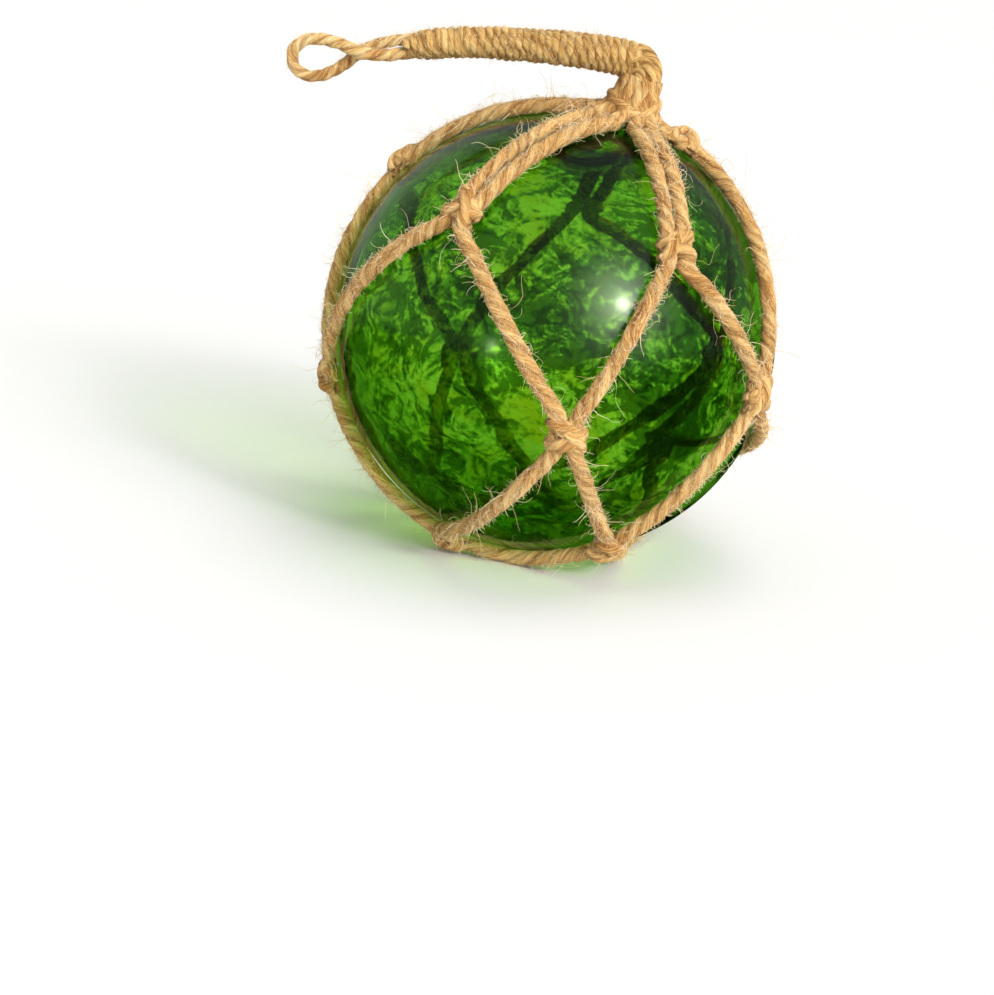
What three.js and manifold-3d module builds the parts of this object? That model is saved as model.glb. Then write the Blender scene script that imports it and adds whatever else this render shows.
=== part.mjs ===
// A sealed green glass float in a knotted jute net, with a whipped hanging strap and an eye at its end.
// Millimetres, +Z up. The origin is the middle of the small flat spot that the ball stands on, and -Y is the front.
import * as THREE from "three";
import { mergeVertices } from "three/addons/utils/BufferGeometryUtils.js";
import Module from "manifold-3d";

const wasm = await Module();
wasm.setup();

// ---- driving dimensions ----
const ballRadius = 50;
const flatDepth = 0.4; // how much of the ball the flat spot takes off
const cordRadius = 1.8; // net cord
const eyeRadius = 1.25; // the strap's own thinner rope
const gap = 0.3; // between two pieces that touch
const ballGap = 0.35; // between the net and the glass
const knotLength = 7;
const wrapRadius = 1.9; // the turn of cord that closes a knot
const flatSpotAngle = 157.5; // how far down the ball the lowest part of each bottom loop lies

const centreHeight = ballRadius - flatDepth;
const netRadius = ballRadius + ballGap + cordRadius;
const knotSide = cordRadius + gap / 2; // from a knot's middle to each of its two cords
const cordSides = 8;

// The net's knots, in degrees: how far down from the top of the ball, and how far round from the front towards +X.
// Column i of each row belongs to cell i, and the cells go once round the ball.
const upperKnots = [[52, -32], [58, 31], [28, 87], [58, 172], [46, 257]];
const middleKnots = [[102, 3], [95, 58], [99, 126], [106, 208], [103, 276]];
const lowerKnots = [[150, -56], [141, 26], [130, 134], [146, 184], [145, 240]];
const cells = upperKnots.length;
const gatherAngles = [14.5, 72]; // where the cords come together, a little off the top

const colours = {
  glass: { color: 0x1c6b16, roughness: 0.05, metalness: 0 },
  jute: { color: 0xc49a5f, roughness: 0.9, metalness: 0 },
  whipping: { color: 0xb98d4f, roughness: 0.92, metalness: 0 },
};

// ---- solids and meshes ----
const solidOf = (geometry) => {
  const plain = new THREE.BufferGeometry();
  const source = geometry.index ? geometry.toNonIndexed() : geometry;
  plain.setAttribute("position", source.getAttribute("position"));
  const merged = mergeVertices(plain, 1e-4);
  return new wasm.Manifold(
    new wasm.Mesh({
      numProp: 3,
      vertProperties: new Float32Array(merged.attributes.position.array),
      triVerts: new Uint32Array(merged.index.array),
    }),
  );
};

const geometryOf = (solid) => {
  const mesh = solid.getMesh();
  const geometry = new THREE.BufferGeometry();
  geometry.setAttribute("position", new THREE.BufferAttribute(mesh.vertProperties, mesh.numProp));
  geometry.setIndex(new THREE.BufferAttribute(mesh.triVerts, 1));
  geometry.computeVertexNormals();
  return geometry;
};

const largestBody = (solid) =>
  solid.decompose().reduce((best, body) => (body.volume() > best.volume() ? body : best));

const meshOf = (name, solid, finish) => {
  const mesh = new THREE.Mesh(geometryOf(solid), new THREE.MeshStandardMaterial(colours[finish]));
  mesh.name = name;
  return mesh;
};

// A smooth curve that is sampled exactly at the points given, so that it is fine only where the points are close.
class Route extends THREE.CatmullRomCurve3 {
  getUtoTmapping(u) {
    return u;
  }
}

const roundSection = (radius) => {
  const shape = new THREE.Shape();
  for (let k = 0; k < cordSides; k++) {
    const turn = ((k + 0.5) / cordSides) * 2 * Math.PI;
    const place = [radius * Math.cos(turn), radius * Math.sin(turn)];
    if (k) shape.lineTo(...place);
    else shape.moveTo(...place);
  }
  shape.closePath();
  return shape;
};

const tube = (points, radius) =>
  solidOf(
    new THREE.ExtrudeGeometry(roundSection(radius), {
      extrudePath: new Route(points, false, "centripetal"),
      steps: points.length - 1,
      bevelEnabled: false,
    }),
  );

// ---- places on the ball ----
const radians = THREE.MathUtils.degToRad;
const ballCentre = new THREE.Vector3(0, 0, centreHeight);

const outward = ([down, round]) =>
  new THREE.Vector3(
    Math.sin(radians(down)) * Math.sin(radians(round)),
    -Math.sin(radians(down)) * Math.cos(radians(round)),
    Math.cos(radians(down)),
  );

const onNet = (direction, lift = 0) =>
  direction.clone().normalize().multiplyScalar(netRadius + lift).add(ballCentre);

// The way from direction a to direction b along the ball, seen at b.
const heading = (a, b) => a.clone().negate().addScaledVector(b, a.dot(b)).normalize();

const gather = outward(gatherAngles);
const south = new THREE.Vector3(0, 0, -1);

// A knot's own frame: out from the ball, along the cords, and across them towards the next cell.
const knotFrame = (angles, row) => {
  const out = outward(angles);
  const along =
    row === "upper"
      ? heading(gather, out)
      : south.clone().addScaledVector(out, -south.dot(out)).normalize();
  return { out, along, across: out.clone().cross(along) };
};

const upper = upperKnots.map((angles) => knotFrame(angles, "upper"));
const middle = middleKnots.map((angles) => knotFrame(angles, "middle"));
const lower = lowerKnots.map((angles) => knotFrame(angles, "lower"));

// The direction of a point beside a knot, in millimetres along and across it.
const beside = (knot, along, across) =>
  knot.out
    .clone()
    .multiplyScalar(netRadius)
    .addScaledVector(knot.along, along)
    .addScaledVector(knot.across, across)
    .normalize();

// Directions from a to b along the shortest way on the ball, without the two ends. bow moves its middle that many
// millimetres aside, to the left of the way from a to b for a positive bow.
const between = (a, b, count, bow = 0) => {
  const angle = a.angleTo(b);
  const aside = a.clone().cross(b).normalize();
  return Array.from({ length: count }, (_, k) => {
    const share = (k + 1) / (count + 1);
    return a
      .clone()
      .multiplyScalar(Math.sin((1 - share) * angle))
      .addScaledVector(b, Math.sin(share * angle))
      .normalize()
      .addScaledVector(aside, (bow / netRadius) * Math.sin(Math.PI * share))
      .normalize();
  });
};

// Three directions that take a cord through a knot on one side of it, from its top to its bottom.
const through = (knot, side) =>
  [-0.5, 0, 0.5].map((share) => beside(knot, share * knotLength, side * knotSide));

// ---- the gather: where ten cord ends go in under the binding ----
const gatherEnd = 7.6; // from the gather's middle to the cord ends
const splay = [2.7, 2, 2.1, 2.4, 2.2]; // from the middle of a pair to each of its two cords, there
const bearingOf = (knot) => heading(knot.out, gather).negate();

// A cord's end at the gather, on one side of the pair that comes up from a knot.
const endAtGather = (knot, side) => {
  const towards = bearingOf(knot);
  const half = splay[upper.indexOf(knot)];
  const across = gather.clone().cross(towards);
  return gather
    .clone()
    .multiplyScalar(netRadius)
    .addScaledVector(towards, gatherEnd)
    .addScaledVector(across, side * half)
    .normalize();
};

// ---- the net cords ----
const legPoints = 3; // directions between the gather and an upper knot, and so on down the ball
const meshPoints = 4;
const loopPoints = 6;
const lowerBows = [0, -2.4, 0, 0, 0]; // of the cord from each middle knot to the lower knot of the same number

// The bottom loop of a cell, which dips towards the flat spot between its two lower knots.
const bottomLoop = (start, end) => {
  const polar = (v) => v.angleTo(new THREE.Vector3(0, 0, 1));
  const around = (v) => Math.atan2(v.x, -v.y);
  const turn = THREE.MathUtils.euclideanModulo(around(end) - around(start), 2 * Math.PI);
  return Array.from({ length: loopPoints }, (_, k) => {
    const share = (k + 1) / (loopPoints + 1);
    const level = THREE.MathUtils.lerp(polar(start), polar(end), share);
    const middleLevel = (polar(start) + polar(end)) / 2;
    const down = level + (radians(flatSpotAngle) - middleLevel) * Math.sin(Math.PI * share);
    const round = around(start) + turn * share;
    return outward([THREE.MathUtils.radToDeg(down), THREE.MathUtils.radToDeg(round)]);
  });
};

// One side of a cell: from the gather down through its upper, middle and lower knot. side is the side of the
// upper and lower knot that the cord passes, and it passes its middle knot on the other one.
const sideOfCell = (top, waist, foot, side) => {
  const start = endAtGather(top, side);
  const [a, b, c] = [through(top, side), through(waist, -side), through(foot, side)];
  return [
    start,
    ...between(start, a[0], legPoints),
    ...a,
    ...between(a[2], b[0], meshPoints),
    ...b,
    ...between(b[2], c[0], meshPoints, side > 0 ? lowerBows[waist] : 0),
    ...c,
  ];
};

const cordDirections = (i) => {
  const j = (i + 1) % cells;
  const left = sideOfCell(upper[i], middle[i], lower[i], 1);
  const right = sideOfCell(upper[j], middle[i], lower[j], -1);
  return [...left, ...bottomLoop(left.at(-1), right.at(-1)), ...right.reverse()];
};

const cordRoutes = upperKnots.map((_, i) => cordDirections(i).map((d) => onNet(d)));
const cordTube = (i, extra = 0) => tube(cordRoutes[i], cordRadius + extra);

// The turn of cord that closes a knot: an arch over both cords, slanted along them.
const wrapTurn = (knot, slant) => {
  const archHalfWidth = 3.1;
  const archHeight = 1.5;
  const steps = 6;
  const foot = wrapRadius - cordRadius;
  const points = Array.from({ length: steps + 1 }, (_, k) => {
    const turn = THREE.MathUtils.lerp(-Math.PI / 2, Math.PI / 2, k / steps);
    const across = archHalfWidth * Math.sin(turn);
    const lift = foot + archHeight * Math.cos(turn);
    return onNet(beside(knot, slant * Math.sin(turn), across), lift);
  });
  return tube(points, wrapRadius);
};

const knotSlants = [1.6, -1.4, 1.2, -1.6, 1.4];

const floorBlock = () => {
  const size = 4 * ballRadius;
  const block = new THREE.BoxGeometry(size, size, size);
  block.translate(0, 0, -size / 2);
  return solidOf(block);
};

const netCord = (i) => {
  const before = (i + cells - 1) % cells;
  const neighbour = cordTube(before, gap);
  const turns = [wrapTurn(upper[i], knotSlants[i]), wrapTurn(lower[i], -knotSlants[i])]
    .map((turn) => turn.subtract(neighbour));
  const closed = [...turns, wrapTurn(middle[i], knotSlants[(i + 2) % cells])].reduce(
    (solid, turn) => solid.add(turn),
    cordTube(i),
  );
  return largestBody(closed.subtract(floorBlock()));
};

// ---- the glass ball, standing on its flat spot ----
const glassBall = () => {
  const rings = 19;
  const flatRadius = Math.sqrt(ballRadius ** 2 - centreHeight ** 2);
  const firstTurn = Math.asin(flatRadius / ballRadius);
  const profile = [new THREE.Vector2(0, 0)];
  for (let k = 0; k <= rings; k++) {
    const turn = THREE.MathUtils.lerp(firstTurn, Math.PI, k / rings);
    const radius = k === rings ? 0 : ballRadius * Math.sin(turn);
    profile.push(new THREE.Vector2(radius, centreHeight - ballRadius * Math.cos(turn)));
  }
  return solidOf(new THREE.LatheGeometry(profile, 32).rotateX(Math.PI / 2));
};

const turnZTowards = (direction) => new THREE.Quaternion().setFromUnitVectors(new THREE.Vector3(0, 0, 1), direction);

// ---- the binding over the gather: three turns of cord round the bundle ----
const bindingHeight = 9;
const gatherBinding = () => {
  const turns = 3;
  const profile = [new THREE.Vector2(0, 0), new THREE.Vector2(5.2, 0)];
  for (let k = 0; k < turns; k++) {
    const low = 0.5 + (k * (bindingHeight - 1)) / turns;
    const radius = 6.6 - 0.85 * k;
    profile.push(new THREE.Vector2(radius - 0.5, low), new THREE.Vector2(radius, low + 1.4));
    profile.push(new THREE.Vector2(radius - 0.5, low + 2.6));
  }
  profile.push(new THREE.Vector2(3.4, bindingHeight), new THREE.Vector2(0, bindingHeight));
  const geometry = new THREE.LatheGeometry(profile, 16).rotateX(Math.PI / 2);
  geometry.applyQuaternion(turnZTowards(gather));
  const place = gather.clone().multiplyScalar(ballRadius + ballGap).add(ballCentre);
  return solidOf(geometry.translate(place.x, place.y, place.z));
};

// ---- the strap: one rope doubled, with an eye at its far end ----
// The strap's middle line, from the binding to where the eye's two sides cross; heights are above the ball's centre.
const strapBend = [[14.4, -4.6, 58.4], [14.7, -4.7, 59.7], [14.2, -4.4, 61.3], [11.6, -4.1, 62.5]];
const strapArch = [[3.2, -3.3, 63.6], [-10.3, -2.1, 64], [-25.6, -1, 63.6]];
const strapEnd = [[-37.8, -0.3, 61.8], [-42.6, -0.1, 60.9], [-47.8, 0, 59.9]];
const strapLine = [...strapBend, ...strapArch, ...strapEnd].map(
  ([x, y, z]) => new THREE.Vector3(x, y, z + centreHeight),
);
const whippedPoints = 8; // of these, the ones inside the whipping
const strandSide = 1.45; // from the strap's middle line to each of its two strands
const strandTwist = [0, 60, 90]; // degrees from side by side to one above the other, back from the crossing

const strandStart = 0.13; // how far past the whipping's end the strands start, of the way to the next point
const coreRadius = 1.7;

const eyeLength = 14.9;
const eyeWidth = 8.1;
const eyeSteps = 14;

// One of the two strands from the end of the whipping to the crossing. They twist as they come out of it.
const strand = (side) =>
  strapLine.slice(whippedPoints - 1).map((place, k, points) => {
    const back = points.length - 1 - k;
    const ahead = points[Math.min(k + 1, points.length - 1)];
    const forwards = ahead.clone().sub(points[Math.max(k - 1, 0)]).normalize();
    const over = new THREE.Vector3(0, 1, 0).cross(forwards).normalize();
    const turn = radians(strandTwist[back]);
    const offset = new THREE.Vector3(0, Math.cos(turn), 0).addScaledVector(over, Math.sin(turn));
    const start = k ? place : place.clone().lerp(ahead, strandStart);
    return start.clone().addScaledVector(offset, side * strandSide);
  });

const eyeRoute = () => {
  const end = strapLine.at(-1);
  const lengthwise = end.clone().sub(strapLine.at(-3)).normalize();
  const upwards = new THREE.Vector3(0, 1, 0).cross(lengthwise);
  // A teardrop: a circle squeezed towards the crossing.
  const eye = Array.from({ length: eyeSteps - 1 }, (_, k) => {
    const turn = ((k + 1) / eyeSteps) * 2 * Math.PI;
    const along = (eyeLength / 2) * (1 - Math.cos(turn));
    const up = 0.65 * eyeWidth * Math.sin(turn) * Math.sin(turn / 2);
    const place = end.clone().addScaledVector(lengthwise, along).addScaledVector(upwards, up);
    place.y -= strandSide * Math.cos(turn / 2);
    return place;
  });
  return [...strand(-1), ...eye, ...strand(1).reverse()];
};

// Inside the whipping the two strands are drawn together into one core.
const core = (extra = 0) => tube(strapLine.slice(0, -1), coreRadius + extra);

const strap = () => tube(eyeRoute(), eyeRadius).add(core());

// ---- the whipping: turns of twine along the strap, from the binding almost to the eye ----
const whippingTurns = 26;
const whippingRadius = (share) => THREE.MathUtils.lerp(4.3, 3.3, share);

const whipping = () => {
  const line = new THREE.CatmullRomCurve3(strapLine.slice(0, whippedPoints), false, "centripetal");
  const rings = 2 * whippingTurns;
  const profile = [new THREE.Vector2(0, 0)];
  for (let k = 0; k <= rings; k++) {
    const share = k / rings;
    profile.push(new THREE.Vector2(whippingRadius(share) - (k % 2 ? 0 : 0.45), share));
  }
  profile.push(new THREE.Vector2(0, 1));
  const geometry = new THREE.LatheGeometry(profile, 8);
  const place = geometry.attributes.position;
  const depth = new THREE.Vector3(0, 1, 0);
  for (let k = 0; k < place.count; k++) {
    const share = THREE.MathUtils.lerp(0.015, 1, THREE.MathUtils.clamp(place.getY(k), 0, 1));
    const forwards = line.getTangentAt(share);
    const upwards = forwards.clone().cross(depth).normalize();
    const at = line
      .getPointAt(share)
      .addScaledVector(upwards, place.getX(k))
      .addScaledVector(depth, 1.1 * place.getZ(k));
    place.setXYZ(k, at.x, at.y, at.z);
  }
  return largestBody(solidOf(geometry).subtract(core(gap)));
};

// ---- the float ----
const float = new THREE.Group();
float.add(meshOf("glass_ball", glassBall(), "glass"));
for (let i = 0; i < cells; i++) float.add(meshOf(`net_cord_${i + 1}`, netCord(i), "jute"));
float.add(meshOf("gather_binding", gatherBinding(), "jute"));
float.add(meshOf("hanging_strap", strap(), "jute"));
float.add(meshOf("strap_whipping", whipping(), "whipping"));

export default float;
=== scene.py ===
"""A green glass float ball in a knotted jute net, standing on its small flat spot.

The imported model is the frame. Every node of it is replaced by a finer piece of the same form: the ball by a
hollow glass shell, the cords by laid rope, and the strap's whipping by a wound twine. Lengths are in millimetres
until a mesh is made, which is in metres, in the frame of the model: +Z up, -Y the front, the strap towards -X.
"""
from math import atan2, cos, pi, radians, sin

import bpy
import numpy as np
from mathutils import Matrix, Vector


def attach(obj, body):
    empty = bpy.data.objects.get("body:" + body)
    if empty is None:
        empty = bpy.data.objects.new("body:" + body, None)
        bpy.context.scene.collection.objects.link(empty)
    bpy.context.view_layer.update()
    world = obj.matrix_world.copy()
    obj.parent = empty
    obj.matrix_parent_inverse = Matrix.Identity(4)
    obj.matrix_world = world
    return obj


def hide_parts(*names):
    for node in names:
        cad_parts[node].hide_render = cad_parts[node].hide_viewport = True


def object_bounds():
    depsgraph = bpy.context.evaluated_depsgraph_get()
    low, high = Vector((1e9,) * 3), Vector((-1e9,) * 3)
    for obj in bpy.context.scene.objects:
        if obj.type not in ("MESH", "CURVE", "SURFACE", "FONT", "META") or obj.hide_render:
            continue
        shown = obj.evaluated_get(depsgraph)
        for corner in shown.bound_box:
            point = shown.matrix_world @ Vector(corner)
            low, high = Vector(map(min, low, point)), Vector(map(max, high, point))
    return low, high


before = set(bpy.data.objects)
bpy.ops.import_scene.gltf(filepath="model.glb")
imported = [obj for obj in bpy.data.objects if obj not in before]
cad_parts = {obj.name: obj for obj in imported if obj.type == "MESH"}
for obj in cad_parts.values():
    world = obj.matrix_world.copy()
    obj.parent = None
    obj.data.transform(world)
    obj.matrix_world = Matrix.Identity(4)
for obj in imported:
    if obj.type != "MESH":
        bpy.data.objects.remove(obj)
cad_low, cad_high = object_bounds()
MM = 0.001
rng = np.random.default_rng(11)

# ---- sizes shared with the model ----
BALL_RADIUS = 50.0
FLAT_DEPTH = 0.4
CORD_RADIUS = 1.8
EYE_RADIUS = 1.25
CORD_GAP = 0.3
BALL_GAP = 0.35
KNOT_LENGTH = 7.0
FLAT_SPOT_ANGLE = 157.5
GATHER = (14.5, 72)  # places on the ball are degrees down from the top and round from the front
GATHER_END = 7.6  # from the gather's axis to where the cords rise from the ball
SPLAY = [2.7, 2, 2.1, 2.4, 2.2]  # from the middle of each pair of cords to each cord there
UPPER_KNOTS = [(52, -32), (58, 31), (28, 87), (58, 172), (46, 257)]
MIDDLE_KNOTS = [(102, 3), (95, 58), (99, 126), (106, 208), (103, 276)]
LOWER_KNOTS = [(150, -56), (141, 26), (130, 134), (146, 184), (145, 240)]
LOWER_BOWS = [0, -2.4, 0, 0, 0]  # how far the cords between middle and lower knots go to the side
CELLS = len(UPPER_KNOTS)

CENTRE = np.array([0, 0, BALL_RADIUS - FLAT_DEPTH])
NET_RADIUS = BALL_RADIUS + BALL_GAP + CORD_RADIUS
KNOT_SIDE = CORD_RADIUS + CORD_GAP / 2

# ---- how the rope is laid ----
CORD_LAY = 15.0  # the length of one full turn of a ply
EYE_LAY = 10.5
TWINE_LAY = 6.5
TWINE_RADIUS = 1.25
TWINE_PITCH = 1.62
STEP = 0.42  # between one section of a rope and the next
EYE_STEP = 0.36
PRESSED = 1.5  # from the glass to a net cord's middle: less than its radius, as it lies flat
OFF_GLASS = 0.04  # the least height of a rope's surface over the glass
OFF_FLOOR = 0.03  # and over the floor

# ---- the glass ----
WALL = 3.2
SEAL_PLACE = (17, 12)
SEAL_RADIUS = 8.5
SEAL_SUNK = 0.12
SEAL_THICKER = 3.4
NEAR_SEAL_THICKER = 2.3
NEAR_SEAL_ANGLE = 24
BUBBLES = 70
OUTER_GRID = (150, 220)  # rows and columns
INNER_GRID = (110, 160)
BUBBLE_GRID = (5, 7)

# ---- the loose fibres ----
FIBRE_OFF = 0.12  # the least distance of a fibre's middle from the glass and the floor
FIBRE_PAST = 2.3  # how far a fibre may stand out of the model's box
LONG_FIBRES = {"reach": (1.2, 7.0), "steps": 8, "thick": (0.055, 0.095)}
SHORT_FIBRES = {"reach": (0.4, 1.6), "steps": 3, "thick": (0.045, 0.07)}
LOOPED_FIBRES = {"reach": (6, 13), "steps": 16, "thick": (0.05, 0.08), "curl": 0.5}
STRAP_FIBRES = {"reach": (0.8, 3.0), "steps": 8, "thick": (0.05, 0.085)}


# ---- vectors ----
def unit(v):
    """v divided by its length, for one vector or for each row."""
    v = np.asarray(v, float)
    return v / np.linalg.norm(v, axis=-1, keepdims=True)


def outward(down, around):
    """The direction that many degrees down from the top, and round from the front towards +X."""
    down, around = np.radians(down), np.radians(around)
    return np.stack([np.sin(down) * np.sin(around), -np.sin(down) * np.cos(around), np.cos(down)], -1)


def between(a, b, count, bow=0.0):
    """Directions from a to b along the shortest way on the ball, without its two ends. Its middle goes bow
    millimetres to the side."""
    angle = np.arccos(np.clip(a @ b, -1, 1))
    share = np.arange(1, count + 1)[:, None] / (count + 1)
    ways = unit(np.sin((1 - share) * angle) * a + np.sin(share * angle) * b)
    return unit(ways + unit(np.cross(a, b)) * bow / NET_RADIUS * np.sin(pi * share))


def smooth_noise(points, size, seed):
    """A smooth wave pattern between -1 and 1, about size across: the mean of six sines in seeded directions."""
    r = np.random.default_rng(seed)
    ways = unit(r.normal(size=(6, 3))) * r.uniform(0.7, 1.6, (6, 1)) * 2 * pi / size
    return np.sin(points @ ways.T + r.uniform(0, 2 * pi, 6)).mean(-1)


def resample(points, step):
    """Points about step apart along the centripetal Catmull-Rom curve through the given points."""
    p = np.asarray(points, float)
    p = np.vstack([2 * p[0] - p[1], p, 2 * p[-1] - p[-2]])
    knots = np.concatenate([[0], np.cumsum(np.sqrt(np.linalg.norm(np.diff(p, axis=0), axis=1)))])
    out = []
    for k in range(1, len(p) - 2):
        t0, t1, t2, t3 = knots[k - 1 : k + 3]
        t = np.linspace(t1, t2, 24, endpoint=False)[:, None]
        a1 = ((t1 - t) * p[k - 1] + (t - t0) * p[k]) / (t1 - t0)
        a2 = ((t2 - t) * p[k] + (t - t1) * p[k + 1]) / (t2 - t1)
        a3 = ((t3 - t) * p[k + 1] + (t - t2) * p[k + 2]) / (t3 - t2)
        b1 = ((t2 - t) * a1 + (t - t0) * a2) / (t2 - t0)
        b2 = ((t3 - t) * a2 + (t - t1) * a3) / (t3 - t1)
        out.append(((t2 - t) * b1 + (t - t1) * b2) / (t2 - t1))
    fine = np.vstack([*out, p[-2][None]])
    along = np.concatenate([[0], np.cumsum(np.linalg.norm(np.diff(fine, axis=0), axis=1))])
    even = np.linspace(0, along[-1], max(3, int(round(along[-1] / step)) + 1))
    return np.stack([np.interp(even, along, fine[:, k]) for k in range(3)], 1)


# ---- the net's knots and cords, as in the model ----
TOP = outward(*GATHER)
SOUTH = np.array([0, 0, -1.0])


def knot_frame(angles, from_gather):
    """Out from the ball, along the cords and across them, at a knot."""
    out = outward(*angles)
    along = unit(out * (TOP @ out) - TOP) if from_gather else unit(SOUTH - out * (SOUTH @ out))
    return out, along, np.cross(out, along)


def beside(knot, along, across):
    """The direction of a point that many millimetres along and across from a knot."""
    out, lengthwise, sideways = knot
    along, across = np.atleast_1d(along)[:, None], np.atleast_1d(across)[:, None]
    return unit(out * NET_RADIUS + along * lengthwise + across * sideways)


upper = [knot_frame(k, True) for k in UPPER_KNOTS]
middle = [knot_frame(k, False) for k in MIDDLE_KNOTS]
lower = [knot_frame(k, False) for k in LOWER_KNOTS]


def through(knot, side):
    """Three directions along a knot, on one side of its middle."""
    shares = np.array([-0.5, 0, 0.5]) * KNOT_LENGTH
    return beside(knot, shares, np.full(3, side * KNOT_SIDE))


def end_at_gather(i, side):
    """The direction where one of the two cords from upper knot i comes to the gather."""
    knot = upper[i]
    towards = unit(knot[0] - TOP * (TOP @ knot[0]))
    return unit(TOP * NET_RADIUS + towards * GATHER_END + np.cross(TOP, towards) * side * SPLAY[i])


def bottom_loop(start, end, count=6):
    """The way between two lower knots, which dips by a half wave towards the flat spot."""
    polar = lambda v: np.arccos(v[2])
    around = lambda v: atan2(v[0], -v[1])
    turn = (around(end) - around(start)) % (2 * pi)
    share = np.arange(1, count + 1) / (count + 1)
    dip = radians(FLAT_SPOT_ANGLE) - (polar(start) + polar(end)) / 2
    down = polar(start) + (polar(end) - polar(start)) * share + dip * np.sin(pi * share)
    return outward(np.degrees(down), np.degrees(around(start) + turn * share))


def side_of_cell(top, waist, foot, side):
    """One side of a cell of the net, from the gather through its upper, middle and lower knots."""
    start = end_at_gather(top, side)
    a, b, c = through(upper[top], side), through(middle[waist], -side), through(lower[foot], side)
    foot_way = between(b[2], c[0], 4, LOWER_BOWS[waist] if side > 0 else 0)
    return [start[None], between(start, a[0], 3), a, between(a[2], b[0], 4), b, foot_way, c]


def cell_directions(i):
    """The whole way of net cord i: down one side of its cell, round the bottom and up the other side."""
    j = (i + 1) % CELLS
    left = np.vstack(side_of_cell(i, i, i, 1))
    right = np.vstack(side_of_cell(j, i, j, -1))
    return np.vstack([left, bottom_loop(left[-1], right[-1]), right[::-1]])


def on_net(directions, lift=0.0):
    """Places on the ball, at the height where a cord's middle lies, and lift above it."""
    return unit(directions) * (BALL_RADIUS + PRESSED + np.atleast_1d(lift)[:, None]) + CENTRE


# ---- meshes ----
def new_mesh(name, parts, material):
    """One object in metres from parts in millimetres. Each part is a dict with verts, quads, tris and fields,
    which hold a value for each vertex."""
    offset, verts, quads, tris = 0, [], [], []
    for part in parts:
        verts.append(part["verts"])
        quads.append(part.get("quads", np.zeros((0, 4), int)) + offset)
        tris.append(part.get("tris", np.zeros((0, 3), int)) + offset)
        offset += len(part["verts"])
    verts, quads, tris = np.vstack(verts), np.vstack(quads), np.vstack(tris)
    mesh = bpy.data.meshes.new(name)
    mesh.vertices.add(len(verts))
    mesh.vertices.foreach_set("co", (verts * MM).astype(np.float32).ravel())
    loops = np.concatenate([quads.ravel(), tris.ravel()])
    mesh.loops.add(len(loops))
    mesh.loops.foreach_set("vertex_index", loops.astype(np.int32))
    starts = np.concatenate([np.arange(len(quads)) * 4, len(quads) * 4 + np.arange(len(tris)) * 3])
    mesh.polygons.add(len(starts))
    mesh.polygons.foreach_set("loop_start", starts.astype(np.int32))
    mesh.update(calc_edges=True)
    mesh.validate()
    mesh.polygons.foreach_set("use_smooth", np.full(len(mesh.polygons), True))
    for field in parts[0].get("fields", {}):
        values = np.concatenate([part["fields"][field] for part in parts]).astype(np.float32)
        kind = "FLOAT_VECTOR" if values.ndim == 2 else "FLOAT"
        made = mesh.attributes.new(field, kind, "POINT")
        made.data.foreach_set("vector" if values.ndim == 2 else "value", values.ravel())
    piece = bpy.data.objects.new(name, mesh)
    bpy.context.scene.collection.objects.link(piece)
    piece.data.materials.append(material)
    return piece


def grid_faces(rings, sides):
    """Quads of a tube of that many rings and sides, facing out, and the triangles that close its two ends."""
    k, m = np.meshgrid(np.arange(rings - 1), np.arange(sides), indexing="ij")
    n = (m + 1) % sides
    quads = np.stack([k * sides + m, k * sides + n, (k + 1) * sides + n, (k + 1) * sides + m], -1)
    quads = quads.reshape(-1, 4)
    first, last = rings * sides, rings * sides + 1
    m, n = np.arange(sides), (np.arange(sides) + 1) % sides
    low = np.stack([np.full(sides, first), n, m], 1)
    high = np.stack([np.full(sides, last), (rings - 1) * sides + m, (rings - 1) * sides + n], 1)
    return quads, np.vstack([low, high])


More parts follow.
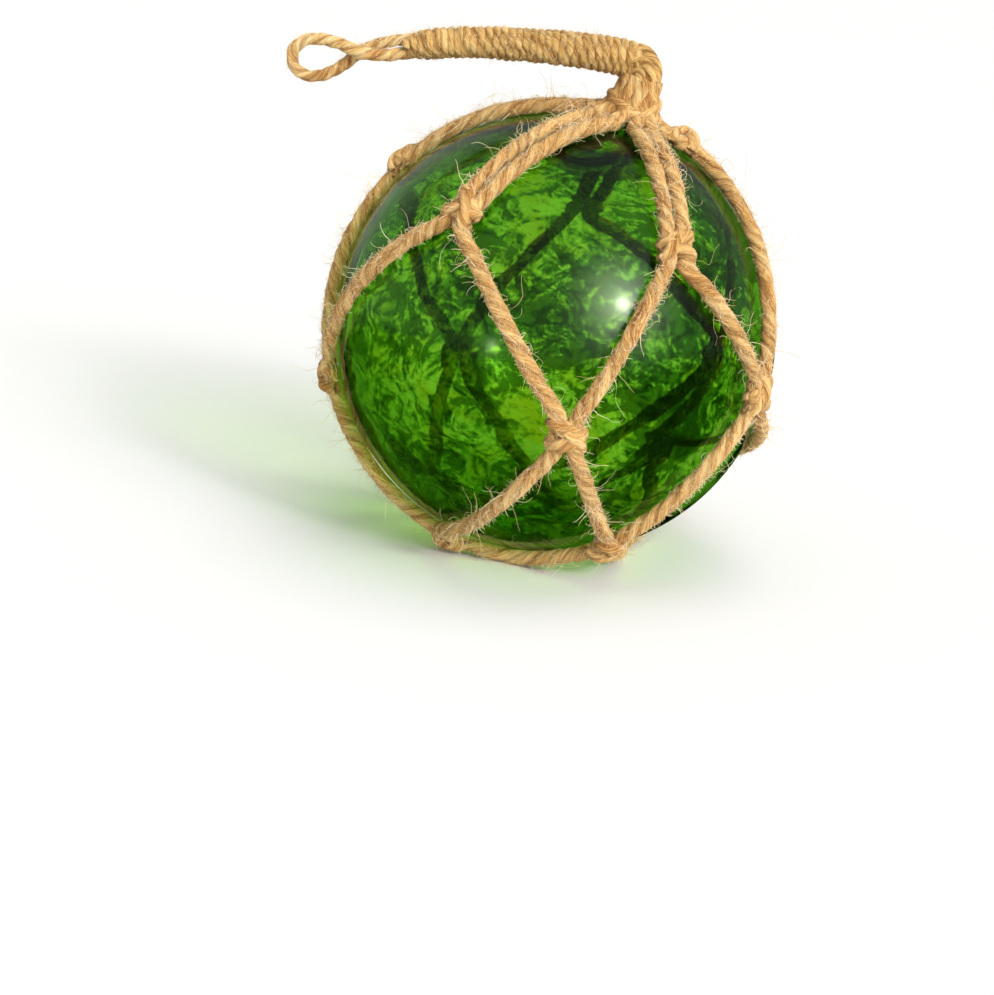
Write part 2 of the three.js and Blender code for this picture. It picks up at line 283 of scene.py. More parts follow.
def rope(path, ups, radius, lay, plies=3, per_ply=9, phase=0.0, depth=0.3, seed=0, swell=0.08):
    """A laid rope along a path. Its section is the outline of round plies set round the middle, at
    r(t) = d cos t + sqrt(p^2 - d^2 sin^2 t), where t is the angle from the nearest ply, d is its distance (depth)
    and p is its radius (1 - depth). The section turns once in each lay, and swell is how unevenly thick the rope
    is. ups gives the direction that the angle is counted from."""
    path = np.asarray(path, float)
    tangent = unit(np.gradient(path, axis=0))
    up = unit(ups - tangent * (ups * tangent).sum(1, keepdims=True))
    side = np.cross(tangent, up)
    along = np.concatenate([[0], np.cumsum(np.linalg.norm(np.diff(path, axis=0), axis=1))])
    sides = plies * per_ply
    local = np.arange(sides) * 2 * pi / sides
    from_ply = (local + pi / plies) % (2 * pi / plies) - pi / plies
    section = depth * np.cos(from_ply) + np.sqrt((1 - depth) ** 2 - (depth * np.sin(from_ply)) ** 2)
    wave = 1 + swell * smooth_noise(path, 9.0, seed + 5) + 0.6 * swell * smooth_noise(path, 3.1, seed + 6)
    turn = phase - 2 * pi * along / lay * (1 + 0.04 * smooth_noise(path, 25.0, seed + 7))
    angle = local[None] + turn[:, None]
    reach = radius * section[None] * wave[:, None]
    rings = (
        path[:, None]
        + up[:, None] * (reach * np.cos(angle))[..., None]
        + side[:, None] * (reach * np.sin(angle))[..., None]
    )
    quads, tris = grid_faces(len(path), sides)
    verts = np.vstack([rings.reshape(-1, 3), path[:1], path[-1:]])
    grain = local[None] - 0.25 * turn[:, None]
    fibre = np.stack([np.cos(grain), np.sin(grain), np.broadcast_to(along[:, None] / 6, grain.shape)], -1)
    fibre[..., :2] *= radius * 1.1
    fibre = fibre.reshape(-1, 3) + 13.7 * seed  # so that no two ropes have the same grain
    fibre = np.vstack([fibre, fibre[:1], fibre[-1:]])
    # hollow is how deep each point lies between the plies; the jute darkens its colour by it as painted shade
    hollow = np.broadcast_to(1 - section, angle.shape).ravel() / (1 - section.min())
    hollow = np.concatenate([hollow, [0.5, 0.5]])
    from_centre = verts - CENTRE
    far = np.linalg.norm(from_centre, axis=1, keepdims=True)
    verts = CENTRE + from_centre * np.maximum(1, (BALL_RADIUS + OFF_GLASS) / far)
    verts[:, 2] = np.maximum(verts[:, 2], OFF_FLOOR)
    return {"verts": verts, "quads": quads, "tris": tris, "fields": {"fibre": fibre, "hollow": hollow}}


# ---- materials ----
class Value:
    """A shader value that can be added, multiplied and so on, each making one maths node."""

    def __init__(self, nodes, socket):
        self.nodes, self.socket = nodes, socket

    def _maths(self, kind, other, swap=False):
        node = self.nodes.node("ShaderNodeMath", operation=kind)
        for k, value in enumerate([other, self] if swap else [self, other]):
            self.nodes.put(node.inputs[k], value)
        return Value(self.nodes, node.outputs[0])

    def __add__(self, other):
        return self._maths("ADD", other)

    def __sub__(self, other):
        return self._maths("SUBTRACT", other)

    def __rsub__(self, other):
        return self._maths("SUBTRACT", other, True)

    def __mul__(self, other):
        return self._maths("MULTIPLY", other)

    def __pow__(self, other):
        return self._maths("POWER", other)

    def clamped(self):
        node = self.nodes.node("ShaderNodeClamp")
        self.nodes.put(node.inputs[0], self)
        return Value(self.nodes, node.outputs[0])

    __radd__, __rmul__ = __add__, __mul__


class Nodes:
    """A node tree: node() makes a node, put() sets or links an input, and the rest are short forms."""

    def __init__(self, owner, output="ShaderNodeOutputMaterial"):
        owner.use_nodes = True
        self.owner = owner
        self.tree = owner.node_tree
        self.tree.nodes.clear()
        self.out = self.node(output)

    def node(self, kind, **settings):
        made = self.tree.nodes.new(kind)
        for key, value in settings.items():
            setattr(made, key, value)
        return made

    def put(self, socket, value):
        if isinstance(value, Value):
            self.tree.links.new(value.socket, socket)
        elif isinstance(value, bpy.types.NodeSocket):
            self.tree.links.new(value, socket)
        else:
            socket.default_value = value

    def field(self, name, vector=False):
        node = self.node("ShaderNodeAttribute", attribute_name=name)
        return Value(self, node.outputs["Vector" if vector else "Fac"])

    def noise(self, where, scale, detail=3.0, roughness=0.55, stretch=(1, 1, 1), distortion=0.0):
        mapping = self.node("ShaderNodeMapping")
        self.put(mapping.inputs["Vector"], where)
        self.put(mapping.inputs["Scale"], stretch)
        node = self.node("ShaderNodeTexNoise")
        self.put(node.inputs["Vector"], mapping.outputs[0])
        self.put(node.inputs["Scale"], scale)
        self.put(node.inputs["Detail"], detail)
        self.put(node.inputs["Roughness"], roughness)
        self.put(node.inputs["Distortion"], distortion)
        return Value(self, node.outputs["Fac"])

    def ramp(self, value, stops):
        node = self.node("ShaderNodeValToRGB")
        elements = node.color_ramp.elements
        while len(elements) < len(stops):
            elements.new(0.5)
        for element, (place, colour) in zip(elements, stops):
            element.position, element.color = place, (*colour, 1)
        self.put(node.inputs[0], value)
        return node.outputs[0]

    def mix(self, share, a, b, kind="MIX"):
        node = self.node("ShaderNodeMix", data_type="RGBA", blend_type=kind)
        self.put(node.inputs[0], share)
        self.put(node.inputs[6], a)
        self.put(node.inputs[7], b)
        return node.outputs[2]

    def bump(self, height, distance):
        node = self.node("ShaderNodeBump")
        self.put(node.inputs["Height"], height)
        self.put(node.inputs["Distance"], distance)
        self.put(node.inputs["Strength"], 1.0)
        return node.outputs[0]

    def surface(self, **values):
        node = self.node("ShaderNodeBsdfPrincipled")
        for name, value in values.items():
            self.put(node.inputs[name.replace("_", " ")], value)
        return node


def jute(name, light, mid, dark, fine=1.0, painted_ply_shade=0.38):
    """Matt laid jute: fibres drawn out along the plies, in pale and brown stripes, with painted shade between the
    plies:
    the colour darkens where the rope's section lies deep, as much as the last argument says. fine is how fine the
    fibres are."""
    m = Nodes(bpy.data.materials.new(name))
    fibre = m.field("fibre", True)
    hollow = m.field("hollow")
    streak = m.noise(fibre, 2.4 * fine, 3.0, 0.65)
    hair = m.noise(fibre, 6.5 * fine, 2.0, 0.6)
    patch = m.noise(fibre, 0.3, 3.0)
    tone = ((streak - 0.5) * 1.5 + (hair - 0.5) * 1.5 + (patch - 0.5) * 1.5 + 0.5).clamped()
    colour = m.ramp(tone, [(0.1, dark), (0.45, mid), (0.9, light)])
    # painted shade: the colour is darkened where hollow is high, deep between the plies, most in the blue channel
    shade = (1 - (hollow**1.7) * painted_ply_shade).clamped()
    grey = m.node("ShaderNodeCombineColor")
    for k in range(3):
        m.put(grey.inputs[k], shade ** (1.0 + 0.3 * k))
    colour = m.mix(1.0, colour, grey.outputs[0], "MULTIPLY")
    height = streak * 0.5 + hair * 0.5
    shader = m.surface(
        Base_Color=colour,
        Roughness=0.78 + 0.16 * hair,
        Normal=m.bump(height, 0.0007),
    )
    m.put(shader.inputs["Specular IOR Level"], 0.2)
    m.put(shader.inputs["Sheen Weight"], 0.15)
    m.put(shader.inputs["Sheen Roughness"], 0.5)
    m.put(shader.inputs["Sheen Tint"], (1.0, 0.82, 0.52, 1))
    m.put(m.out.inputs["Surface"], shader.outputs[0])
    return m.owner


def glass_material():
    """Clear coloured glass. Its colour is an even absorption in the wall and an even tint on the outside, with
    painted light and shade on the inside: drawn-out darker and yellower patches that stand for what is seen
    through the ball, not for the glass. Its skin has a soft bloom, and light from the lamps and the sky passes
    its surfaces almost unchanged."""
    m = Nodes(bpy.data.materials.new("green_glass"))
    place = m.field("place", True)
    # painted light and shade: these noises make darker and yellower patches inside the glass, which stand for
    # what is seen through it
    cloud = m.noise(place, 0.42, 1.0)
    swirl = m.noise(place, 1.0, 2.0, 0.5, (1, 1, 1.4), 3.0)
    fleck = m.noise(place, 2.8, 1.5, 0.5, (1.2, 1, 1), 2.0)
    yellow = m.noise(place, 0.7, 1.0, 0.5, (1, 1.3, 1), 1.2)
    tone = ((cloud - 0.5) * 3.0 + (swirl - 0.5) * 3.4 + (fleck - 0.5) * 1.8 + 0.47).clamped()
    painted_light_and_shade = m.ramp(tone, [(0.08, (0.03, 0.09, 0.01)), (0.45, (0.34, 0.56, 0.12)), (0.85, (1.0, 1.0, 0.42))])
    painted_yellow_light = m.ramp(yellow, [(0.5, (1.0, 1.0, 1.0)), (0.64, (1.0, 0.78, 0.2))])
    painted_light_and_shade = m.mix(1.0, painted_light_and_shade, painted_yellow_light, "MULTIPLY")
    clear = m.mix(m.field("inside"), (0.37, 0.65, 0.173, 1), painted_light_and_shade)
    shader = m.surface(Base_Color=clear, Roughness=0.0, IOR=1.2)
    m.put(shader.inputs["Transmission Weight"], 1.0)
    m.put(shader.inputs["Specular Tint"], (0.95, 1.0, 0.7, 1))
    m.put(shader.inputs["Coat Weight"], 0.3)
    m.put(shader.inputs["Coat Roughness"], 0.2)
    passing = m.node("ShaderNodeBsdfTransparent")
    m.put(passing.inputs["Color"], (1.0, 1.0, 0.9, 1))
    path = m.node("ShaderNodeLightPath")
    mixed = m.node("ShaderNodeMixShader")
    m.put(mixed.inputs[0], path.outputs["Is Shadow Ray"])
    m.put(mixed.inputs[1], shader.outputs[0])
    m.put(mixed.inputs[2], passing.outputs[0])
    m.put(m.out.inputs["Surface"], mixed.outputs[0])
    volume = m.node("ShaderNodeVolumeAbsorption")
    m.put(volume.inputs["Color"], (0.45, 0.76, 0.02, 1))
    m.put(volume.inputs["Density"], 240.0)
    m.put(m.out.inputs["Volume"], volume.outputs[0])
    return m.owner


# the last number given to a jute is the strength of its painted shade between the plies
cord_jute = jute("jute_cord", (0.93, 0.66, 0.30), (0.68, 0.375, 0.115), (0.36, 0.145, 0.032), painted_ply_shade=0.3)
strap_jute = jute("jute_strap", (1.0, 0.80, 0.42), (0.80, 0.48, 0.165), (0.44, 0.19, 0.05))
twine_jute = jute("jute_twine", (0.92, 0.67, 0.29), (0.69, 0.40, 0.115), (0.33, 0.145, 0.03), 1.2, painted_ply_shade=0.5)
fuzz_jute = jute("jute_hair", (0.98, 0.86, 0.60), (0.88, 0.70, 0.42), (0.70, 0.48, 0.22))
green_glass = glass_material()


# ---- the glass ball ----
SEAL = outward(*SEAL_PLACE)


def closed_ball(middle, reach, grid, faces_in, inside):
    """A closed ball round a middle, whose radius in each direction is reach(direction). Its faces look in or out.
    The field inside is 1 on the inside of the glass wall, where the painted light and shade is."""
    rows, columns = grid
    down = np.linspace(0, 180, rows + 1)[1:-1]
    around = np.arange(columns) * 360 / columns
    ways = outward(*np.meshgrid(down, around, indexing="ij")).reshape(-1, 3)
    ways = np.vstack([ways, [[0, 0, 1.0]], [[0, 0, -1.0]]])
    verts = middle + ways * reach(ways)[:, None]
    quads, tris = grid_faces(rows - 1, columns)
    if not faces_in:
        quads, tris = quads[:, ::-1], tris[:, ::-1]
    fields = {"place": verts / 10, "inside": np.full(len(verts), inside)}
    return {"verts": verts, "quads": quads, "tris": tris, "fields": fields}


def from_seal(ways):
    """The angle of each direction from the middle of the seal, in degrees."""
    return np.degrees(np.arccos(np.clip(ways @ SEAL, -1, 1)))


def seal_share(ways):
    """1 at the middle of the seal, 0 outside it, with a rounded edge."""
    out = from_seal(ways) / np.degrees(SEAL_RADIUS / BALL_RADIUS)
    return np.clip(1 - out**4, 0, 1)


def outer_reach(ways):
    """The blown ball's outside, a little uneven, with the flat spot."""
    uneven = 0.09 * (1 + smooth_noise(ways * BALL_RADIUS, 26, 2))
    reach = BALL_RADIUS - uneven - SEAL_SUNK * seal_share(ways)
    flat = (BALL_RADIUS - FLAT_DEPTH) / np.maximum(1e-6, -ways[:, 2])
    return np.where(ways[:, 2] < -0.9, np.minimum(reach, flat), reach)


def inner_reach(ways):
    """The inside, more uneven than the outside, and lower round and under the seal, where the glass is thick."""
    at = ways * BALL_RADIUS
    uneven = 0.45 * smooth_noise(at, 34, 3) + 0.22 * smooth_noise(at, 15, 4) + 0.05 * smooth_noise(at, 6, 8)
    thicker = NEAR_SEAL_THICKER * np.exp(-((from_seal(ways) / NEAR_SEAL_ANGLE) ** 2))
    return BALL_RADIUS - WALL + uneven - thicker - SEAL_THICKER * seal_share(ways)


def bubble(middle, radius):
    """A small round bubble in the wall, whose faces look into it."""
    return closed_ball(middle, lambda ways: np.full(len(ways), radius), BUBBLE_GRID, True, 0.0)


def glass_parts():
    """The outside and the inside of the wall, and small round bubbles in it."""
    parts = [
        closed_ball(CENTRE, outer_reach, OUTER_GRID, False, 0.0),
        closed_ball(CENTRE, inner_reach, INNER_GRID, True, 1.0),
    ]
    ways = unit(rng.normal(size=(BUBBLES, 3)))
    depth = rng.uniform(0.7, WALL - 0.9, BUBBLES)
    radius = rng.uniform(0.07, 0.26, BUBBLES) ** 1.15
    return parts + [bubble(CENTRE + w * (BALL_RADIUS - d), r) for w, d, r in zip(ways, depth, radius)]


ball = new_mesh("glass_ball_shell", glass_parts(), green_glass)
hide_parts("glass_ball")
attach(ball, "root")

# ---- the net ----
KNOT_SLANTS = [1.6, -1.4, 1.2, -1.6, 1.4]
ARCH_ANGLE = 112  # from the top of a knot's turn to each of its feet
fuzz_paths = []  # the middle line and radius of every rope that loose fibres stand off


def ball_rope(path, radius, lay=CORD_LAY, **more):
    """A rope that lies on the ball, with its angles counted from straight out."""
    return rope(path, unit(path - CENTRE), radius, lay, **more)


def knot_turn(knot, slant, along, lift, phase, seed, half_width=3.1, height=1.6, radius=1.62, shift=0.0):
    """One turn of a knot: an arch over both cords, slanted along them, whose feet tuck in beside them."""
    turn = np.radians(np.linspace(-ARCH_ANGLE, ARCH_ANGLE, 15))
    across = shift + half_width * np.sin(turn) * (1 + 0.05 * np.cos(3 * turn))
    rise = lift + height * np.cos(turn)
    path = on_net(beside(knot, along + slant * np.sin(turn), across), rise)
    path = resample(path, STEP)
    return ball_rope(path, radius, phase=phase, seed=seed)


def knot_parts(knot, slant, seed):
    """A net knot: one turn slanted each way, the second lying over the first, and a bight over one cord."""
    r = np.random.default_rng(seed)
    j = r.uniform(-0.25, 0.25, 8)
    lean = np.sign(slant)
    return [
        knot_turn(knot, slant, -1.7 + j[0], 0.0, j[1] * 9, seed, height=1.5 + j[2]),
        knot_turn(knot, -0.75 * slant, 1.3 + j[3], 0.15, j[4] * 9, seed + 1, height=1.85 + j[5]),
        knot_turn(knot, 1.9 * slant, 0.2 + j[6], 0.5, j[7] * 9, seed + 2, 1.75, 1.7, 1.5, 1.3 * lean),
    ]


def net_cord(i):
    """Net cord i, which sways a little up off the ball, and the knots that belong to it."""
    path = resample(on_net(cell_directions(i)), STEP)
    path = on_net(path - CENTRE, 0.08 * (1 + smooth_noise(path, 14, i)))
    path[:, 2] = np.maximum(path[:, 2], CORD_RADIUS * 0.94)
    fuzz_paths.append((path, CORD_RADIUS))
    parts = [ball_rope(path, CORD_RADIUS * 0.97, phase=1.3 * i, seed=i, depth=0.25, swell=0.1)]
    parts += knot_parts(upper[i], KNOT_SLANTS[i], 20 + i)
    parts += knot_parts(middle[i], KNOT_SLANTS[(i + 2) % CELLS], 40 + i)
    parts += knot_parts(lower[i], -KNOT_SLANTS[i], 60 + i)
    return parts


for i in range(CELLS):
    cord = new_mesh(f"net_cord_rope_{i + 1}", net_cord(i), cord_jute)
    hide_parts(f"net_cord_{i + 1}")
    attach(cord, "root")

# ---- the gather: the cord ends turn up into a neck, and a few turns of cord bind them ----
TAIL_SWIRLS = [0, 0, 4, 12, 22, 30, 38]  # degrees round the neck, at each place from the ball up
TAIL_SPREADS = [9.6, 8.2, 6.4, 4.9, 3.9, 3.35, 3.1]  # from the neck's axis
TAIL_HEIGHTS = [-0.25, -0.1, 0.6, 2.0, 4.2, 6.6, 9.0]  # over the net
TAIL_RADIUS = 1.68
LASHING_RADIUS = 1.5
LASHING_TURNS = 1.12


def at_gather(way, spread, height):
    """The place that far out from the gather's axis along way, and that high over the net."""
    spread, height = np.atleast_1d(spread)[:, None], np.atleast_1d(height)[:, None]
    return CENTRE + TOP * (np.sqrt(NET_RADIUS**2 - spread**2) + height) + way * spread


def tail(i, side, seed):
    """The end of one net cord, from the ball up into the neck."""
    start = end_at_gather(i, side)
    way = unit(start - TOP * (start @ TOP))
    turned = np.stack([way * cos(a) + np.cross(TOP, way) * sin(a) for a in np.radians(TAIL_SWIRLS)])
    path = resample(at_gather(turned, TAIL_SPREADS, TAIL_HEIGHTS), STEP)
    ups = np.broadcast_to(way, path.shape)
    return rope(path, ups, TAIL_RADIUS, CORD_LAY, phase=seed, seed=seed, depth=0.24)


def lashing(turned, low, high, spread, seed):
    """One long slanted turn of cord round the neck, lowest where turned degrees round from the front."""
    turn = np.linspace(0, 2 * pi * LASHING_TURNS, 40)
    ways = outward(np.full(40, 90.0), np.degrees(turn) + turned)
    ways = unit(ways - TOP * (ways @ TOP)[:, None])
    share = turn / turn[-1]
    height = (low + high) / 2 - (high - low) / 2 * np.cos(turn) + 1.2 * (share - 0.5)
    tucked_in = 9.0 * np.maximum(0, np.abs(share - 0.5) - 0.4)
    path = resample(at_gather(ways, spread - 0.16 * (height - low) - tucked_in, height), STEP)
    ups = np.broadcast_to(TOP, path.shape)
    return rope(path, ups, LASHING_RADIUS, CORD_LAY, phase=0.4, seed=seed, depth=0.24)


gather_parts = [tail(i, s, 70 + 2 * i + (s > 0)) for i in range(CELLS) for s in (-1, 1)]
gather_parts += [lashing(62, 0.7, 3.7, 5.4, 90), lashing(-58, 0.9, 4.7, 5.2, 91)]
gather = new_mesh("gather_lashing", gather_parts, cord_jute)
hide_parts("gather_binding")
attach(gather, "root")

# ---- the strap and its whipping ----
STRAP_BEND = [(14.4, -4.6, 58.4), (14.7, -4.7, 59.7), (14.2, -4.4, 61.3), (11.6, -4.1, 62.5)]
STRAP_ARCH = [(3.2, -3.3, 63.6), (-10.3, -2.1, 64), (-25.6, -1, 63.6)]
STRAP_END = [(-37.8, -0.3, 61.8), (-42.6, -0.1, 60.9), (-47.8, 0, 59.9)]
STRAP_LINE = np.array(STRAP_BEND + STRAP_ARCH + STRAP_END) + [0, 0, CENTRE[2]]
WHIPPED_POINTS = 8
STRAND_SIDE = 1.45
STRAND_TWIST = [0, 60, 90]
EYE_LENGTH = 14.9
EYE_WIDTH = 8.1
DEPTH = np.array([0, 1.0, 0])
WHIPPED_AT_NECK, WHIPPED_AT_EYE = 4.3, 3.3  # the whipping's outer radius at its two ends
WHIPPED_FROM, WHIPPED_TO = 0.075, 0.996  # the shares of the line where the twine begins and ends
SEGMENTS_PER_TURN = 40
CORE_RADIUS, CORE_LAY = 2.5, 40.0
BEND_STRANDS = 8  # the cords that show where the strap turns down
BEND_SHARE = 0.16
BEND_STRAND_RADIUS = 1.42


def strap_strand(side):
    """The middle line of one of the two strands between the whipping and the eye. They twist round each other."""
    points = STRAP_LINE[WHIPPED_POINTS - 2 :]
    forwards = unit(np.gradient(points, axis=0))
    over = unit(np.cross(DEPTH, forwards))
    twist = np.radians([100, *STRAND_TWIST[::-1]])[:, None]
    return points + side * STRAND_SIDE * (DEPTH * np.cos(twist) + over * np.sin(twist))


def strap_eye():
    """The two strands and the teardrop between them."""
    end = STRAP_LINE[-1]
    forwards = unit(end - STRAP_LINE[-3])
    over = np.cross(DEPTH, forwards)
    turn = np.arange(1, 14)[:, None] / 14 * 2 * pi
    loop = end + forwards * EYE_LENGTH / 2 * (1 - np.cos(turn))
    loop = loop + over * 0.65 * EYE_WIDTH * np.sin(turn) * np.sin(turn / 2)
    loop = loop - DEPTH * STRAND_SIDE * np.cos(turn / 2)
    path = resample(np.vstack([strap_strand(-1), loop, strap_strand(1)[::-1]]), EYE_STEP)
    fuzz_paths.append((path, EYE_RADIUS))
    return rope(path, np.broadcast_to(DEPTH, path.shape), EYE_RADIUS * 1.1, EYE_LAY, phase=0.5, seed=100)


eye = new_mesh("hanging_strap_rope", [strap_eye()], strap_jute)
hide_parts("hanging_strap")
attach(eye, "root")


def bend_strands(line, over):
    """The cords round the first part of the strap's line, which draw in under the first turns of the twine."""
    span = int(BEND_SHARE * len(line))
    share = np.linspace(0, 1, span)
    reach = 2.95 - 1.1 * np.clip((share - 0.45) / 0.55, 0, 1) ** 1.3
    strands = []
    for k in range(BEND_STRANDS):
        angle = radians(k * 360 / BEND_STRANDS + 12) + 0.7 * share
        up_part, deep_part = (reach * np.cos(angle))[:, None], (1.08 * reach * np.sin(angle))[:, None]
        strand = resample((line[:span] + over[:span] * up_part + DEPTH * deep_part)[::8], STEP)
        ups = strand - line[span // 2]
        strands.append(rope(strand, ups, BEND_STRAND_RADIUS, CORD_LAY, phase=k, seed=130 + k, depth=0.24))
    return strands


def whipping():
    """A twine wound round the strap: its middle is a helix whose axis is the strap's line. Where the strap turns
    down to the neck the cords inside it show, and the twine begins a little way along them."""
    line = resample(STRAP_LINE[:WHIPPED_POINTS], 0.1)
    along = np.concatenate([[0], np.cumsum(np.linalg.norm(np.diff(line, axis=0), axis=1))])
    forwards = unit(np.gradient(line, axis=0))
    over = unit(np.cross(forwards, DEPTH))
    turns = (1 - WHIPPED_FROM) * along[-1] / TWINE_PITCH
    share = np.linspace(0, 1, int(turns * SEGMENTS_PER_TURN))
    s = WHIPPED_FROM + (WHIPPED_TO - WHIPPED_FROM) * share
    at = lambda values: np.stack([np.interp(s * along[-1], along, values[:, k]) for k in range(3)], 1)
    middle_line, lift = at(line), at(over)
    uneven = 1 + 0.03 * smooth_noise(middle_line, 6, 31)
    taper = 0.9 * np.clip((s - 0.9) / 0.1, 0, 1) ** 1.5
    outer = WHIPPED_AT_NECK + (WHIPPED_AT_EYE - WHIPPED_AT_NECK) * s - taper
    radius = (outer - TWINE_RADIUS) * uneven
    turn = 2 * pi * (turns * share + 0.1 * smooth_noise(middle_line, 11, 32))
    lean = 0.45 * np.sin(turn)
    helix = (
        middle_line
        + lift * (radius * np.cos(turn))[:, None]
        + DEPTH * (1.1 * radius * np.sin(turn))[:, None]
        + at(forwards) * lean[:, None]
    )
    fuzz_paths.append((helix, TWINE_RADIUS))
    core = line[::12]
    ups = np.broadcast_to(DEPTH, core.shape)
    return [
        rope(helix, helix - middle_line, TWINE_RADIUS, TWINE_LAY, plies=2, per_ply=6, depth=0.2, seed=120),
        rope(core, ups, CORE_RADIUS, CORE_LAY, plies=3, per_ply=4, seed=121),
        *bend_strands(line, over),
    ]


wound = new_mesh("strap_whipping_twine", whipping(), twine_jute)
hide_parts("strap_whipping")
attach(wound, "root")


# ---- loose fibres ----
def hairs(path, radius, count, seed, reach, steps, thick, curl=0.42):
    """Loose fibres that stand off a rope, many of them in bunches. Each is a thin three-sided taper whose
    direction turns by a small angle at each step, so that it curls, and which never goes into the glass or the
    floor. reach and thick are the least and the greatest length and thickness."""
    r = np.random.default_rng(seed)
    bunches = r.uniform(0, len(path), 40)
    at = np.where(r.uniform(size=count) < 0.4, r.choice(bunches, count) + r.normal(0, 5, count), -1)
    at = np.where(at < 0, r.uniform(0, len(path), count), at).astype(int)
    at = np.clip(at, 2, len(path) - 3)
    tangent = unit(path[at + 1] - path[at - 1])
    out = unit(r.normal(size=(count, 3)) + 0.7 * unit(path[at] - CENTRE))
    out = unit(out - tangent * (out * tangent).sum(1, keepdims=True))
    length = reach[0] + (reach[1] - reach[0]) * r.uniform(0, 1, count) ** 2.2
    way = unit(out * r.uniform(0.2, 1, (count, 1)) + tangent * r.normal(size=(count, 1)))
    axis = unit(r.normal(size=(count, 3)))
    bend = r.normal(0, curl, (count, 1))
    points = [path[at] + out * radius * 0.85]
    for _ in range(steps):
        points.append(points[-1] + way * (length / steps)[:, None])
        way = unit(way + np.cross(axis, way) * bend + 0.15 * r.normal(size=way.shape))
        axis = unit(axis + 0.35 * r.normal(size=axis.shape))
    points = np.stack(points, 1)
    from_centre = points - CENTRE
    far = np.linalg.norm(from_centre, axis=-1, keepdims=True)
    points = CENTRE + from_centre * np.maximum(1, (BALL_RADIUS + FIBRE_OFF) / far)
    points = np.clip(points, np.array(cad_low) / MM - FIBRE_PAST, np.array(cad_high) / MM + FIBRE_PAST)
    points[..., 2] = np.maximum(points[..., 2], FIBRE_OFF)
    width = np.linspace(1, 0.4, steps + 1)[None] * r.uniform(*thick, (count, 1))
    a = unit(np.cross(way, axis))
    b = unit(np.cross(way, a))
    turn = np.arange(3) * 2 * pi / 3
    ring = a[:, None] * np.cos(turn)[None, :, None] + b[:, None] * np.sin(turn)[None, :, None]
    verts = points[:, :, None] + ring[:, None] * width[..., None, None]
    rings = steps + 1
    k, m = np.meshgrid(np.arange(steps), np.arange(3), indexing="ij")
    n = (m + 1) % 3
    quads = np.stack([k * 3 + m, k * 3 + n, (k + 1) * 3 + n, (k + 1) * 3 + m], -1).reshape(-1, 4)
    tris = np.array([[0, 2, 1], [3 * steps, 3 * steps + 1, 3 * steps + 2]])
    base = np.arange(count)[:, None, None] * rings * 3
    flat = verts.reshape(-1, 3)
    shade = np.repeat(r.uniform(-30, 30, (count, 1)), rings * 3, 1).ravel()
    fibre = np.stack([shade, shade * 0.7, shade * 0.3], 1)
    return {
        "verts": flat,
        "quads": (quads[None] + base).reshape(-1, 4),
        "tris": (tris[None] + base).reshape(-1, 3),
        "fields": {"fibre": fibre, "hollow": np.zeros(len(flat))},
    }


fuzz = []
for k, (path, radius) in enumerate(fuzz_paths[:CELLS]):
    net_hairs = [
        hairs(path, radius, 620, 200 + k, **LONG_FIBRES),
        hairs(path, radius, 5200, 220 + k, **SHORT_FIBRES),
        hairs(path, radius, 60, 240 + k, **LOOPED_FIBRES),
    ]
    fuzz.append(new_mesh(f"net_loose_fibres_{k + 1}", net_hairs, fuzz_jute))
eye_path, twine_path = fuzz_paths[CELLS][0], fuzz_paths[CELLS + 1][0]
strap_hairs = [
    hairs(eye_path, EYE_RADIUS, 150, 300, **STRAP_FIBRES),
    hairs(eye_path, EYE_RADIUS, 1100, 302, **SHORT_FIBRES),
    hairs(twine_path, TWINE_RADIUS, 420, 301, **STRAP_FIBRES),
    hairs(twine_path, TWINE_RADIUS, 4200, 303, **SHORT_FIBRES),
]
fuzz.append(new_mesh("strap_loose_fibres", strap_hairs, fuzz_jute))
for piece in fuzz:
    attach(piece, "root")


# ---- the studio: floor, lamps, world and camera ----
CAMERA_ELEVATION = radians(16)
CAMERA_ROLL = radians(4)
CAMERA_DISTANCE = 450.0
LENS, SENSOR = 71.3, 36
AIM_LEFT, AIM_DOWN = 13.3, 37.2  # of the ball's middle
CLIP = (0.01, 200)  # metres
FLOOR_REACH = 60  # metres, to each side
FLOOR_COLOUR = (0.86, 0.86, 0.855, 1)
KEY = (0.536, 0.19, 0.822)  # directions are right, up and towards the camera
SPARK = (-0.56, -0.155, 0.813)
TOP_LAMP = (0.25, 0.9, 0.3)
SKY_LEVEL = 0.38
SKY_FALL = 10.0  # the sky is dark from 1 / SKY_FALL under the horizon
ball_centre = Vector(CENTRE) * MM
flat_right, flat_back = Vector((1, 0, 0)), Vector((0, -cos(CAMERA_ELEVATION), sin(CAMERA_ELEVATION)))
flat_up = flat_back.cross(flat_right)
right = flat_right * cos(CAMERA_ROLL) + flat_up * sin(CAMERA_ROLL)
above = flat_up * cos(CAMERA_ROLL) - flat_right * sin(CAMERA_ROLL)


def sun(name, direction, strength, degrees_across, colour):
    """A far lamp, so that the floor is lit evenly. The glass doesn't mirror it."""
    data = bpy.data.lights.new(name, "SUN")
    data.energy, data.angle, data.color = strength, radians(degrees_across), colour
    light = bpy.data.objects.new(name, data)
    light.visible_glossy = False
    way = (right * direction[0] + above * direction[1] + flat_back * direction[2]).normalized()
    light.rotation_mode = "QUATERNION"
    light.rotation_quaternion = (-way).to_track_quat("-Z", "Y")
    bpy.context.scene.collection.objects.link(light)


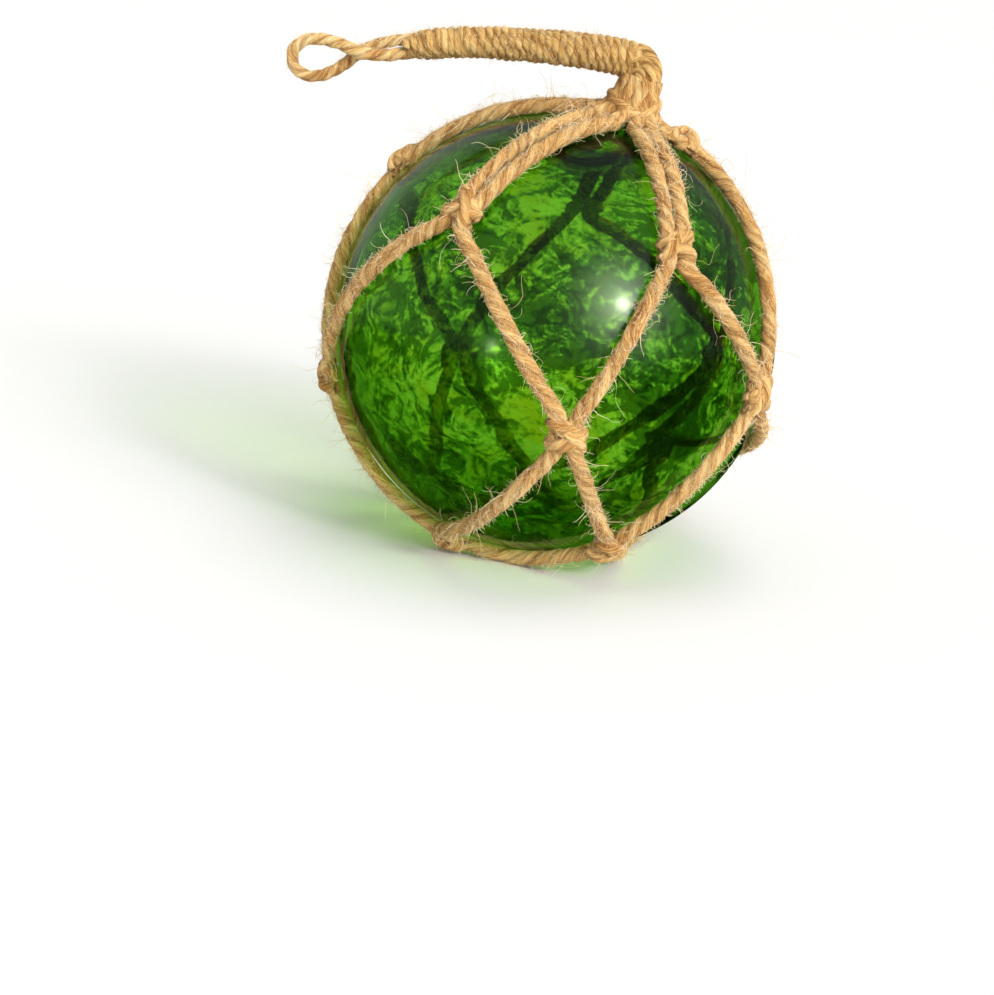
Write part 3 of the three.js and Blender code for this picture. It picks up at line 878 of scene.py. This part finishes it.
def towards_lamp(nodes, way):
    """1 where the sky is looked at in that direction, falling to 0 at a right angle to it."""
    dot = nodes.node("ShaderNodeVectorMath", operation="DOT_PRODUCT")
    nodes.put(dot.inputs[0], nodes.node("ShaderNodeTexCoord").outputs["Generated"])
    nodes.put(dot.inputs[1], right * way[0] + above * way[1] + flat_back * way[2])
    return Value(nodes, dot.outputs["Value"]).clamped()


def floor_and_sky():
    """A pale floor that reaches far behind the ball, under an even pale sky. One soft round glow in the sky,
    brightest at its middle, is the main light, and a small spark low on the left is mirrored in the glass. The
    glass doesn't mirror the floor, and the sky ends a little under the horizon, so the ball's lower half stays
    deep."""
    corners = np.array([[-1, -1, 0], [1, -1, 0], [1, 1, 0], [-1, 1, 0]]) * FLOOR_REACH / MM
    m = Nodes(bpy.data.materials.new("pale_floor"))
    shader = m.surface(Base_Color=FLOOR_COLOUR, Roughness=0.85)
    m.put(m.out.inputs["Surface"], shader.outputs[0])
    floor = new_mesh("floor", [{"verts": corners, "quads": np.array([[0, 1, 2, 3]])}], m.owner)
    floor.visible_glossy = False
    world = bpy.data.worlds.new("studio")
    w = Nodes(world, "ShaderNodeOutputWorld")
    key, spark = (towards_lamp(w, way) for way in (KEY, SPARK))
    glow = key**24.0 * 11.5 + key**600.0 * 110.0 + spark**1500.0 * 55.0
    split = w.node("ShaderNodeSeparateXYZ")
    w.put(split.inputs[0], w.node("ShaderNodeTexCoord").outputs["Generated"])
    sky = (Value(w, split.outputs["Z"]) * SKY_FALL + 1.0).clamped() * SKY_LEVEL
    light = w.node("ShaderNodeBackground")
    w.put(light.inputs["Color"], (1, 1, 1, 1))
    w.put(light.inputs["Strength"], glow + sky)
    w.put(w.out.inputs["Surface"], light.outputs[0])
    bpy.context.scene.world = world


floor_and_sky()
sun("top", TOP_LAMP, 1.1, 40, (1, 0.98, 0.94))

data = bpy.data.cameras.new("camera")
data.lens, data.sensor_width = LENS, SENSOR
camera = bpy.data.objects.new("camera", data)
aim = ball_centre - right * AIM_LEFT * MM - above * AIM_DOWN * MM
turn = Matrix((right, above, flat_back)).transposed()
camera.matrix_world = Matrix.Translation(aim + flat_back * CAMERA_DISTANCE * MM) @ turn.to_4x4()
data.clip_start, data.clip_end = CLIP
bpy.context.scene.collection.objects.link(camera)
bpy.context.scene.camera = camera
bpy.context.scene.view_settings.view_transform = "Standard"
